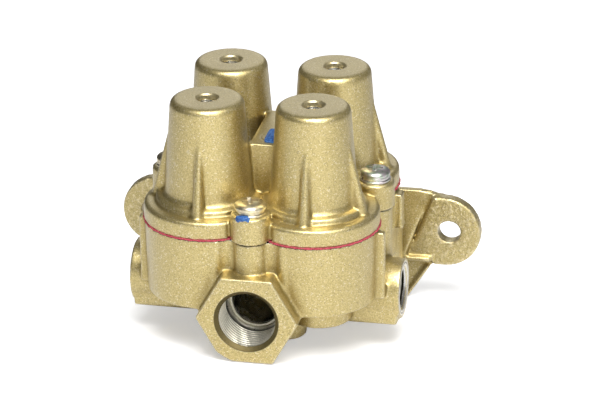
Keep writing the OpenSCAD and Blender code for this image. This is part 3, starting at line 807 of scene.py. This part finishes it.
def recess_cutter(centre, angle, top, depth):
    """One wing pair of a cross recess, narrower towards its bottom."""
    turn = Matrix.Rotation(angle, 3, "Z")
    points = []
    for half_x, half_y, z in ((3.1 * MM, 0.85 * MM, top), (2.2 * MM, 0.5 * MM, top - depth)):
        for sx, sy in ((-1, -1), (1, -1), (1, 1), (-1, 1)):
            points.append(centre + turn @ Vector((sx * half_x, sy * half_y, z)))
    faces = [(0, 1, 2, 3), (4, 5, 6, 7), (0, 1, 5, 4), (1, 2, 6, 5), (2, 3, 7, 6), (3, 0, 4, 7)]
    return make("cutter", points, faces, "zinc_plate", smooth=False, body=None)


def cover_screw(name, angle):
    """Pan-head screw with a cross recess, its spring washer and its flat washer."""
    seat = screw_axis(name, LOCK_HIGH.z)
    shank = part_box("cover_screws")[0].z - LOCK_HIGH.z
    radius = 5.65 * MM if name == "front" else 5.35 * MM
    # Down the head: how far in from its rim, and how high
    dome = [(0.25, 0), (0, 0.25), (0, 0.95), (0.12, 1.3), (0.5, 1.7), (1.3, 2.15), (2.4, 2.5),
            (3.7, 2.7)]
    profile = [(2.6 * MM, shank), (2.95 * MM, shank + 0.4 * MM), (2.95 * MM, 0)]
    profile += [(radius - inset * MM, height * MM) for inset, height in dome]
    profile.append((0.4 * MM, 2.78 * MM))
    head = lathe("cover_screw_" + name, profile, seat, "zinc_plate", replaced=["cover_screws"])
    for turn in (angle, angle + math.pi / 2):
        cutter = recess_cutter(seat, turn, 3.2 * MM, 2.6 * MM)
        cut = head.modifiers.new("recess", "BOOLEAN")
        cut.operation, cut.solver, cut.object = "DIFFERENCE", "EXACT", cutter
        head.data = baked(head).data
        bpy.data.objects.remove(cutter)
    head.data.set_sharp_from_angle(angle=math.radians(38))
    bore, edge = 3.1 * MM, 0.12 * MM
    split_ring("lock_washer_" + name, screw_axis(name, LOCK_LOW.z), bore, 5.15 * MM,
               LOCK_HIGH.z - LOCK_LOW.z, angle + 2.2)
    thick = WASHER_HIGH.z - WASHER_LOW.z
    loop = [(bore, 0), (WASHER_R - edge, 0), (WASHER_R, edge), (WASHER_R, thick - edge),
            (WASHER_R - edge, thick), (bore, thick)]
    lathe("flat_washer_" + name, loop, screw_axis(name, WASHER_LOW.z), "zinc_plate", closed=True,
          replaced=["flat_washers"])


def split_ring(name, centre, inner, outer, height, opening):
    """Spring washer: a square wire bent round, cut through, its ends slightly apart."""
    steps, gap, spread, edge = 60, math.radians(7), 0.16 * MM, 0.1 * MM
    loop = [(inner, edge), (inner + edge, 0), (outer - edge, 0), (outer, edge),
            (outer, height - edge), (outer - edge, height), (inner + edge, height),
            (inner, height - edge)]
    points = []
    for i in range(steps + 1):
        t = opening + gap / 2 + (2 * math.pi - gap) * i / steps
        lift = spread * (i / steps - 0.5)
        for r, z in loop:
            level = min(max(z + lift, 0), height) if 0 < z < height else z
            points.append(centre + Vector((r * math.cos(t), r * math.sin(t), level)))
    faces = grid_faces(steps + 1, len(loop))
    last = steps * len(loop)
    faces += [tuple(range(len(loop))), tuple(last + k for k in range(len(loop)))]
    return make(name, points, faces, "zinc_plate", smooth=False, replaced=["lock_washers"])


for index, screw in enumerate(SCREWS):
    cover_screw(screw, 0.35 + 1.3 * index)


# ---- Lacquer seals ----

def lacquer_blob(name, centre, half, turn=0.0, seed=0, square=0.8):
    """A thick dab of lacquer: a flattened ball with an uneven outline.

    half: its half sizes. square: 1 is round, and less is more box-like.
    """
    ball = bmesh.new()
    bmesh.ops.create_icosphere(ball, subdivisions=4, radius=1.0)
    spin = Matrix.Rotation(turn, 3, "Z")
    for v in ball.verts:
        x, y, z = v.co
        wave = 1 + 0.10 * math.sin(3.1 * x + 2.3 * y + seed)
        wave += 0.07 * math.sin(6.7 * y - 5.1 * z + 2 * seed)
        squared = [math.copysign(abs(c) ** square, c) * h for c, h in zip(v.co, half)]
        v.co = centre + spin @ Vector(squared) * wave
    mesh = bpy.data.meshes.new(name)
    ball.to_mesh(mesh)
    ball.free()
    mesh.shade_smooth()
    obj = bpy.data.objects.new(name, mesh)
    bpy.context.scene.collection.objects.link(obj)
    return dress(obj, "seal_lacquer")


def centre_screw_seal():
    """The centre screw's counterbore, filled with paint, and the dab of lacquer over it."""
    low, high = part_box("centre_screw")
    block_top = node_centre("centre_screw")
    block_top.z = high.z + 0.6 * MM
    inner, outer = 0.3 * MM, (high - low).x / 2 + 0.3 * MM
    bottom, top = -0.55 * MM, -0.04 * MM
    fill = [(inner, bottom), (outer, bottom), (outer, top), (inner, top)]
    lathe("centre_screw_fill", fill, block_top, "cast_paint", closed=True)
    half = (2.6 * MM, 5.8 * MM, 1.0 * MM)
    lacquer_blob("centre_screw_seal", block_top + Vector((0.8 * MM, 0, 0)), half, seed=1.0,
                 square=0.5)


def front_screw_seal():
    """The dab of lacquer from the front screw's washer down onto its boss."""
    turn = math.radians(-13)
    away = Vector((math.sin(turn), -math.cos(turn), 0))
    washer = screw_axis("front", WASHER_LOW.z - 0.35 * MM)
    half = (2.35 * MM, 0.95 * MM, 1.35 * MM)
    lacquer_blob("front_screw_seal", washer + away * 5.9 * MM, half, turn, 5.0, square=0.7)


centre_screw_seal()
front_screw_seal()


# ---- Gasket edge ----

def gasket_edge(corner):
    """The gasket's ragged edge, pressed out a little between the castings round one lobe."""
    sx, sy = CORNERS[corner]
    middle = math.atan2(sy, sx)
    spread = math.radians(72.5)
    steps, around = 260, 10
    lobe_r = 23.22
    centre = circuit_axis(corner)
    height = (GASKET_LOW.z + GASKET_HIGH.z) / 2
    points = []
    for i in range(steps + 1):
        t = middle + spread * (2 * i / steps - 1)
        ragged = (0.09 * math.sin(37 * t) + 0.07 * math.sin(83 * t + 1)
                  + 0.05 * math.sin(151 * t + 2))
        radius = (lobe_r + ragged) * MM
        droop = (0.05 * math.sin(29 * t + 3) + 0.04 * math.sin(67 * t)) * MM
        for k in range(around):
            a = 2 * math.pi * k / around
            out = radius + math.cos(a) * 0.28 * MM
            z = height + droop + math.sin(a) * (0.37 + 0.7 * ragged) * MM
            points.append(Vector((centre.x + out * math.cos(t), centre.y + out * math.sin(t), z)))
    faces = grid_faces(steps + 1, around)
    last = steps * around
    faces += [tuple(range(around)), tuple(last + k for k in range(around))]
    return make("gasket_edge_" + corner, points, faces, "red_gasket")


for corner in CORNERS:
    gasket_edge(corner)


# ---- Springs and diaphragms ----

def coil(name, axis, mean_r, wire_r, bottom, top, turns, first, last, flat_turns, replaced):
    """Part of a coil spring, from turn first to turn last, whose end turns lie flat."""
    per_turn, around = ((36, 14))
    free = top - bottom - 2 * wire_r
    # End turns that lie flat almost touch the next
    closed = 2.04 * wire_r

    def height(turn):
        if turn < flat_turns:
            return closed * turn
        if turn > turns - flat_turns:
            return free - closed * (turns - turn)
        share = (turn - flat_turns) / (turns - 2 * flat_turns)
        return closed * flat_turns + share * (free - 2 * closed * flat_turns)

    steps = int((last - first) * per_turn)
    points = []
    for i in range(steps + 1):
        turn = first + (last - first) * i / steps
        t = 2 * math.pi * turn
        z = bottom + wire_r + height(turn)
        for k in range(around):
            a = 2 * math.pi * k / around
            out = mean_r + wire_r * math.cos(a)
            points.append(Vector((axis.x + out * math.cos(t), axis.y + out * math.sin(t),
                                  z + wire_r * math.sin(a))))
    faces = grid_faces(steps + 1, around)
    end = steps * around
    faces += [tuple(range(around)), tuple(end + k for k in range(around))]
    return make(name, points, faces, "spring_steel", replaced=[replaced], body=None)


def main_spring(corner):
    """The main spring, made as two coils: its lower half and its upper half."""
    node = "main_spring_" + corner
    low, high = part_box(node)
    axis = circuit_axis(corner)
    mean_r, wire_r, turns = 7.4 * MM, 1.2 * MM, 7
    shape = (axis, mean_r, wire_r, low.z, high.z, turns)
    lower = coil(node + "_lower", *shape, 0, turns / 2, 1, node)
    upper = coil(node + "_upper", *shape, turns / 2, turns, 1, node)
    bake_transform(lower)
    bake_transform(upper)


def nonreturn_spring(corner):
    """The light spring of the non-return valve, as one coil."""
    node = "nonreturn_spring_" + corner
    low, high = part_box(node)
    axis = circuit_axis(corner)
    mean_r, wire_r, turns = 5 * MM, 0.45 * MM, 5
    spring = coil(node + "_coil", axis, mean_r, wire_r, low.z, high.z, turns, 0, turns, 0.75, node)
    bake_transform(spring)


def eased(share):
    """A share from 0 to 1 that starts and ends gently."""
    return share * share * (3 - 2 * share)


def diaphragm(corner):
    """Dished rubber disc, its middle lower than its flat rim."""
    node = "diaphragm_" + corner
    low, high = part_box(node)
    hole, inner, outer, rim = 2.04 * MM, 9.3 * MM, 13.0 * MM, 17 * MM
    thick = 1 * MM
    drop = low.z + thick - high.z
    steps = 10
    bend = [(inner + (outer - inner) * i / steps, drop * (1 - eased(i / steps)))
            for i in range(steps + 1)]
    profile = [(hole, drop - thick), (inner - 0.4 * MM, drop - thick)]
    profile += [(r, z - thick) for r, z in bend] + [(rim, -thick), (rim, 0)]
    profile += bend[::-1] + [(hole, drop)]
    axis = circuit_axis(corner)
    top, bottom = (Vector((axis.x, axis.y, z)) for z in (high.z, low.z))
    disc = lathe(node + "_disc", profile, top, "black_rubber", closed=True, replaced=[node],
                 body=None)
    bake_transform(disc)


for corner in CORNERS:
    main_spring(corner)
    diaphragm(corner)
for corner in GUARDED:
    nonreturn_spring(corner)


# ---- Stage ----

def floor():
    """Pale floor under the two lines the valve rests on: its supply boss and its back plate."""
    boss_reach = 16.1 * MM
    front = Vector((0, BODY_LOW.y, PORT.z - boss_reach))
    back = Vector((0, BODY_HIGH.y, BODY_LOW.z))
    tilt = math.atan2(back.z - front.z, back.y - front.y)
    bpy.ops.mesh.primitive_plane_add(size=8)
    plane = bpy.context.object
    plane.name = "floor"
    plane.location = front
    plane.rotation_euler = (tilt, 0, 0)
    n = Nodes("floor")
    # Painted contact shadow: the floor's colour and glow are darker close to the valve
    contact_shadow = n.remap(n.hollow(40 * MM), 0.30, 0.90, 0.74, 1.0)
    shown = n.math("MULTIPLY", n.add("ShaderNodeLightPath").outputs["Is Camera Ray"], contact_shadow)
    colour = n.mix(contact_shadow, (0.50, 0.49, 0.50), (0.86, 0.86, 0.87))
    n.finish(colour, 0.0, 0.6, None, Emission_Color=(1.0, 1.0, 1.0),
             Emission_Strength=n.remap(shown, 0, 1, 0.03, 0.60))
    plane.data.materials.append(n.material)


def lamp(name, azimuth, elevation, distance, size, power):
    """Square soft light aimed at the valve. Azimuth 0 is in front of the supply port."""
    data = bpy.data.lights.new(name, "AREA")
    data.size = size
    data.energy = power
    light = bpy.data.objects.new(name, data)
    a, e = math.radians(azimuth), math.radians(elevation)
    away = Vector((math.sin(a) * math.cos(e), -math.cos(a) * math.cos(e), math.sin(e)))
    light.location = MIDDLE + away * distance
    light.rotation_euler = (-away).to_track_quat("-Z", "Y").to_euler()
    bpy.context.scene.collection.objects.link(light)


def sky():
    """White to the camera; to all else a studio, brightest at the front right, dark on the left."""
    world = bpy.data.worlds.new("studio")
    bpy.context.scene.world = world
    world.use_nodes = True
    tree = world.node_tree
    tree.nodes.clear()
    add, link = tree.nodes.new, tree.links.new
    path, pick = add("ShaderNodeLightPath"), add("ShaderNodeMixShader")
    out = add("ShaderNodeOutputWorld")
    studio, shown = add("ShaderNodeBackground"), add("ShaderNodeBackground")
    place, split = add("ShaderNodeTexCoord"), add("ShaderNodeSeparateXYZ")
    product = add("ShaderNodeMath")
    link(place.outputs["Generated"], split.inputs[0])
    product.operation = "MULTIPLY"
    # Along each axis: where the fade starts and ends, and its strength there
    fades = (("Y", -0.1, 0.7, 0.26, 0.15), ("X", -0.75, 0.3, 0.15, 1.0))
    for socket, (axis, *numbers) in zip(product.inputs, fades):
        fade = add("ShaderNodeMapRange")
        link(split.outputs[axis], fade.inputs["Value"])
        for key, number in zip(("From Min", "From Max", "To Min", "To Max"), numbers):
            fade.inputs[key].default_value = number
        link(fade.outputs[0], socket)
    studio.inputs[0].default_value = (1.0, 0.985, 0.95, 1)
    link(product.outputs[0], studio.inputs[1])
    shown.inputs[0].default_value = (1.0, 1.0, 1.0, 1)
    link(path.outputs["Is Camera Ray"], pick.inputs[0])
    link(studio.outputs[0], pick.inputs[1])
    link(shown.outputs[0], pick.inputs[2])
    link(pick.outputs[0], out.inputs[0])


def camera():
    """The photograph's view: from the front, slightly right and above."""
    azimuth, elevation, roll = (math.radians(d) for d in (12.06, 23.42, -0.66))
    distance = 1.2217
    back = Vector((math.sin(azimuth) * math.cos(elevation),
                   -math.cos(azimuth) * math.cos(elevation), math.sin(elevation)))
    right = Vector((math.cos(azimuth), math.sin(azimuth), 0))
    up = back.cross(right)
    right, up = (right * math.cos(roll) + up * math.sin(roll),
                 up * math.cos(roll) - right * math.sin(roll))
    target = at(9.783, 0, 27.255)
    data = bpy.data.cameras.new("camera")
    data.lens = 204.7
    data.sensor_width = 36
    data.clip_start, data.clip_end = 0.01, 20
    obj = bpy.data.objects.new("camera", data)
    obj.matrix_world = Matrix((right, up, back)).transposed().to_4x4()
    obj.location = target + back * distance
    bpy.context.scene.collection.objects.link(obj)
    bpy.context.scene.camera = obj


floor()
sky()
lamp("overhead", 20, 60, 1.1, 0.6, 16)
lamp("behind", 190, 24, 1.3, 0.7, 1.5)
lamp("front_right", 34, 25, 1.3, 0.3, 2.0)
camera()
bpy.context.scene.view_settings.view_transform = "Standard"
